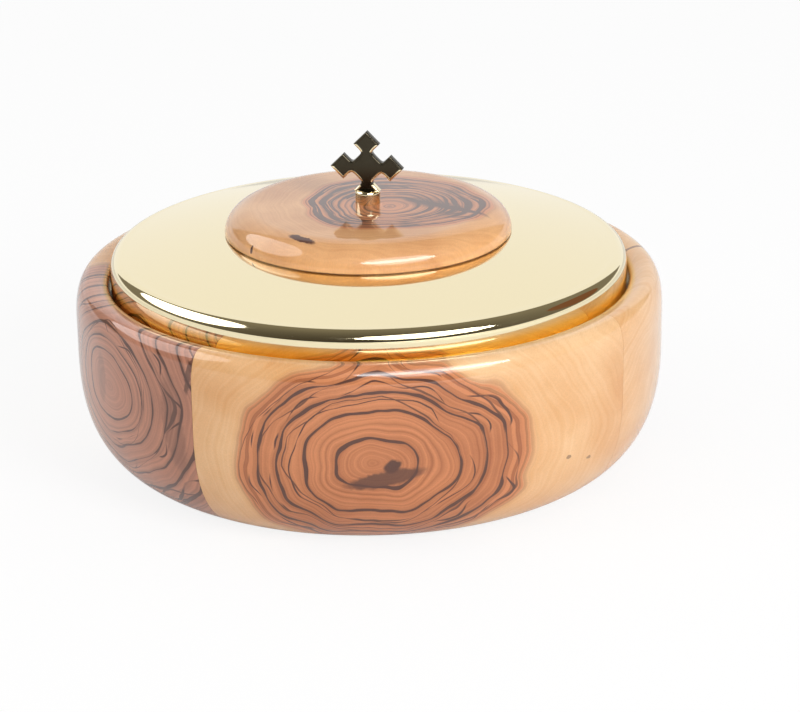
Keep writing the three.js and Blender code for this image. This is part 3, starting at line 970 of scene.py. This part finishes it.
def inwards(outline, distance):
    """The corners of a closed anticlockwise outline, moved inwards by a distance."""
    moved = []
    for i, corner in enumerate(outline):
        here = Vector(corner)
        before = (here - Vector(outline[i - 1])).normalized()
        after = (Vector(outline[(i + 1) % len(outline)]) - here).normalized()
        mitre = (before.orthogonal() + after.orthogonal()) / (1 + before.dot(after))
        moved.append(here + distance * mitre)
    return moved


def bezier(corners, steps):
    """Points along a cubic curve, both ends included."""
    points = []
    for i in range(steps + 1):
        t = i / steps
        weights = ((1 - t) ** 3, 3 * t * (1 - t) ** 2, 3 * t * t * (1 - t), t**3)
        points.append(tuple(sum(w * c[k] for w, c in zip(weights, corners)) for k in (0, 1)))
    return points


class HOSTBOWL_OT_fittings(bpy.types.Operator):
    """Finishes the fasteners and the felt that the frame already holds"""

    bl_idname = "hostbowl.fittings"
    bl_label = "Fittings"

    def execute(self, context):
        look = sizes("finishes")
        brass = plain_metal("Turned brass", look.brass, 0.3)
        zinc = plain_metal("Zinc plated steel", look.zinc, 0.4)
        finishes = {
            "cup_stud": brass,
            "finial_washer": brass,
            "cup_washer": zinc,
            "cup_nut": zinc,
            "finial_nut": zinc,
            "base_felt": wool_felt("Pressed wool felt"),
        }
        for node, material in finishes.items():
            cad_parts[node].data.materials.clear()
            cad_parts[node].data.materials.append(material)
        return {"FINISHED"}


class HOSTBOWL_OT_stage(bpy.types.Operator):
    """Sets the camera, the white floor, the even sky and the soft lamps"""

    bl_idname = "hostbowl.stage"
    bl_label = "Stage"

    def execute(self, context):
        self.camera()
        self.floor()
        self.sky()
        self.lamps()
        self.cards()
        context.scene.view_settings.view_transform = "Standard"
        return {"FINISHED"}

    def camera(self):
        """Aims at a point of the bowl, and turns until that point is on its pixel."""
        look = sizes("stage_look")
        data = bpy.data.cameras.new("Camera")
        data.lens = look.lens
        data.sensor_width = 36
        camera = new_object("Camera", data)
        bpy.context.scene.camera = camera
        target = Vector((0, 0, 0.0499))
        target_pixel = (369.1, 274.3)
        width, height = 800, 712
        away = Vector((0, -math.cos(look.elevation), math.sin(look.elevation)))
        camera.location = target + look.distance * away
        aim = (-away).to_track_quat("-Z", "Y").to_matrix()
        focal = look.lens / data.sensor_width * width
        pan = math.atan((width / 2 - target_pixel[0]) / focal)
        tilt = math.atan((height / 2 - target_pixel[1]) / focal)
        turn = Euler((-tilt, -pan, 0)).to_matrix()
        roll = Matrix.Rotation(-look.roll, 3, "Z")
        camera.rotation_euler = (aim @ roll @ turn).to_euler()

    def floor(self):
        """A white table. The camera and the gloss see it nearly white, and other light is
        thrown back in the colour of the floor."""
        look = sizes("stage_look")
        glow_seen, glow_in_gloss = 0.87, 0.15
        under = -0.1 * MM
        bpy.ops.mesh.primitive_plane_add(size=6, location=(0, 0, under))
        floor = bpy.context.object
        floor.name = "floor"
        material, tree, shader, output = new_material("White table")
        fill(tree, shader, {"Base Color": look.floor, "Roughness": 0.9,
                            "Specular IOR Level": 0.1})
        white = add(tree, "ShaderNodeBsdfDiffuse", {"Color": (1, 1, 1)})
        glow = add(tree, "ShaderNodeEmission", {"Color": (1, 1, 1), "Strength": 1.0})
        ray = add(tree, "ShaderNodeLightPath")
        glowing = add(tree, MIX, {
            "Factor": ray.outputs["Is Camera Ray"], "A": glow_in_gloss, "B": glow_seen})
        pale = add(tree, "ShaderNodeMixShader", {0: glowing, 1: white, 2: glow})
        shown = add(tree, MATHS, {0: ray.outputs["Is Camera Ray"],
                                  1: ray.outputs["Is Glossy Ray"]}, operation="MAXIMUM")
        seen = add(tree, "ShaderNodeMixShader", {0: shown, 1: shader, 2: pale})
        fill(tree, output, {"Surface": seen})
        floor.data.materials.append(material)

    def sky(self):
        """White to the camera and the gloss. The light that it gives grows overhead."""
        look = sizes("stage_look")
        world = bpy.data.worlds.new("White studio")
        bpy.context.scene.world = world
        world.use_nodes = True
        tree = world.node_tree
        tree.nodes.clear()
        ray = add(tree, "ShaderNodeLightPath")
        shown = add(tree, MATHS, {0: ray.outputs["Is Camera Ray"],
                                  1: ray.outputs["Is Glossy Ray"]}, operation="MAXIMUM")
        clear = add(tree, MATHS, {0: shown, 1: ray.outputs["Is Transmission Ray"]},
                    operation="MAXIMUM")
        where = add(tree, "ShaderNodeTexCoord").outputs["Generated"]
        height = add(tree, "ShaderNodeSeparateXYZ", {0: where}).outputs["Z"]
        soft = add(tree, RANGE, {"Value": height, "To Min": look.horizon, "To Max": look.zenith})
        strength = add(tree, MIX, {"Factor": clear, "A": soft, "B": 1.0})
        light = add(tree, "ShaderNodeBackground", {"Color": (1, 1, 1), "Strength": strength})
        add(tree, "ShaderNodeOutputWorld", {"Surface": light})

    def lamps(self):
        """Two soft lamps for the light itself. In the gloss, softbox cards stand for them."""
        look = sizes("stage_look")
        distance = 1.5
        middle = Vector((0, 0, 50 * MM))
        for name, azimuth, elevation, power in (
            ("Left lamp", -70, 36, look.left_lamp),
            ("Right lamp", 38, 26, look.right_lamp),
        ):
            data = bpy.data.lights.new(name, "AREA")
            data.shape = "DISK"
            data.size = 0.7
            data.energy = power
            lamp = new_object(name, data)
            away = heading(azimuth, elevation)
            lamp.location = middle + distance * away
            lamp.rotation_euler = (-away).to_track_quat("-Z", "Y").to_euler()
            lamp.visible_glossy = False

    def cards(self):
        """Cards that only the gloss shows: a dark tent on the camera's side and overhead,
        and inside it two oval softboxes, the right one brighter towards its middle, and a
        warm shelf. The tent hides what reaches out through it, such as the outer part of
        the right softbox."""
        dark = (0.05, 0.042, 0.03)
        olive = (0.22, 0.2, 0.155)
        white = (2.2, 2.2, 2.2)
        bright = (3.4, 3.4, 3.4)
        glow = (5, 5, 5)
        core = (14, 14, 14)
        brown = (0.2, 0.09, 0.045)
        nearest, furthest = -1.9, 0.7
        for name, (corners, faces), front, back in (
            ("dark_tent", self.tent(2.0, 8, 125), dark, olive),
            ("left_softbox", self.disc(1.65, -102, 39.5, 26.5, 20.5), bright, bright),
            ("right_softbox", self.disc(1.9, 26, 42, 53, 38), white, white),
            ("right_glow", self.disc(1.85, 27, 42, 35, 15), glow, glow),
            ("right_core", self.disc(1.8, 27, 42, 33, 6), core, core),
            ("warm_shelf", self.disc(1.9, 106, 26, 15, 15), brown, brown),
        ):
            mesh = bpy.data.meshes.new(name)
            mesh.from_pydata(corners, [], faces)
            card = new_object(name, mesh)
            material, tree, _, output = new_material(name)
            where = add(tree, "ShaderNodeTexCoord").outputs["Object"]
            depth = add(tree, "ShaderNodeSeparateXYZ", {0: where}).outputs["Y"]
            further = add(tree, RANGE, {"Value": depth, "From Min": nearest,
                                        "From Max": furthest})
            tone = add(tree, MIX, {"Factor": further, "A": front, "B": back}, data_type="RGBA")
            light = add(tree, "ShaderNodeEmission", {"Color": tone})
            fill(tree, output, {"Surface": light})
            mesh.materials.append(material)
            card.visible_camera = False
            card.visible_diffuse = False
            card.visible_shadow = False
            card.visible_transmission = False

    def disc(self, distance, azimuth, elevation, wide, high):
        """An oval card that faces the bowl; wide and high are half its angles in degrees."""
        axis = heading(azimuth, elevation)
        turn = axis.to_track_quat("Z", "Y")
        width, height = (distance * math.tan(math.radians(a)) for a in (wide, high))
        sides = 64
        corners = []
        for i in range(sides):
            angle = 2 * math.pi * i / sides
            corner = Vector((width * math.cos(angle), height * math.sin(angle), 0))
            corners.append(distance * axis + turn @ corner)
        return corners, [tuple(range(sides))]

    def tent(self, radius, lowest, back):
        """Part of a ball round the bowl, above a lowest elevation, from the front over
        the top to an angle from the front, and further back at both sides."""
        columns, rows = 64, 48
        sides_back = 18
        floor = math.sin(math.radians(lowest))
        corners, faces = [], []
        for j in range(rows + 1):
            for i in range(columns + 1):
                aside = abs(2 * i / columns - 1) ** 2
                span = back + sides_back * aside - lowest
                polar = math.radians(lowest + span * j / rows)
                low = math.asin(min(1, floor / math.sin(polar)))
                around = low + (math.pi - 2 * low) * i / columns
                corners.append(radius * Vector((math.sin(polar) * math.cos(around),
                                                -math.cos(polar),
                                                math.sin(polar) * math.sin(around))))
        for j in range(rows):
            for i in range(columns):
                k = j * (columns + 1) + i
                faces.append((k, k + 1, k + columns + 2, k + columns + 1))
        return corners, faces


def heading(azimuth, elevation):
    """Direction at an azimuth from the front towards +X and an elevation, in degrees."""
    a, e = math.radians(azimuth), math.radians(elevation)
    return Vector((math.sin(a) * math.cos(e), -math.cos(a) * math.cos(e), math.sin(e)))


class HOSTBOWL_PT_panel(bpy.types.Panel):
    """Lists the steps that build the bowl"""

    bl_idname = "HOSTBOWL_PT_panel"
    bl_label = "Host bowl"
    bl_space_type = "VIEW_3D"
    bl_region_type = "UI"
    bl_category = "Host bowl"

    def draw(self, context):
        for step in STEPS:
            self.layout.operator(step.bl_idname)


STEPS = (
    HOSTBOWL_OT_stage,
    HOSTBOWL_OT_bowl,
    HOSTBOWL_OT_cup,
    HOSTBOWL_OT_lid,
    HOSTBOWL_OT_finial,
    HOSTBOWL_OT_fittings,
)
GROUPS = {
    "bowl_sizes": BowlSizes,
    "lid_sizes": LidSizes,
    "cup_sizes": CupSizes,
    "finishes": Finishes,
    "stage_look": StageLook,
}


def register():
    for made in (*GROUPS.values(), *STEPS, HOSTBOWL_PT_panel):
        bpy.utils.register_class(made)
    for name, group in GROUPS.items():
        setattr(bpy.types.Scene, name, PointerProperty(type=group))


def unregister():
    for name in GROUPS:
        delattr(bpy.types.Scene, name)
    for made in reversed((*GROUPS.values(), *STEPS, HOSTBOWL_PT_panel)):
        bpy.utils.unregister_class(made)


def main():
    register()
    for step in STEPS:
        group, name = step.bl_idname.split(".")
        getattr(getattr(bpy.ops, group), name)()


if __name__ == "__main__":
    main()
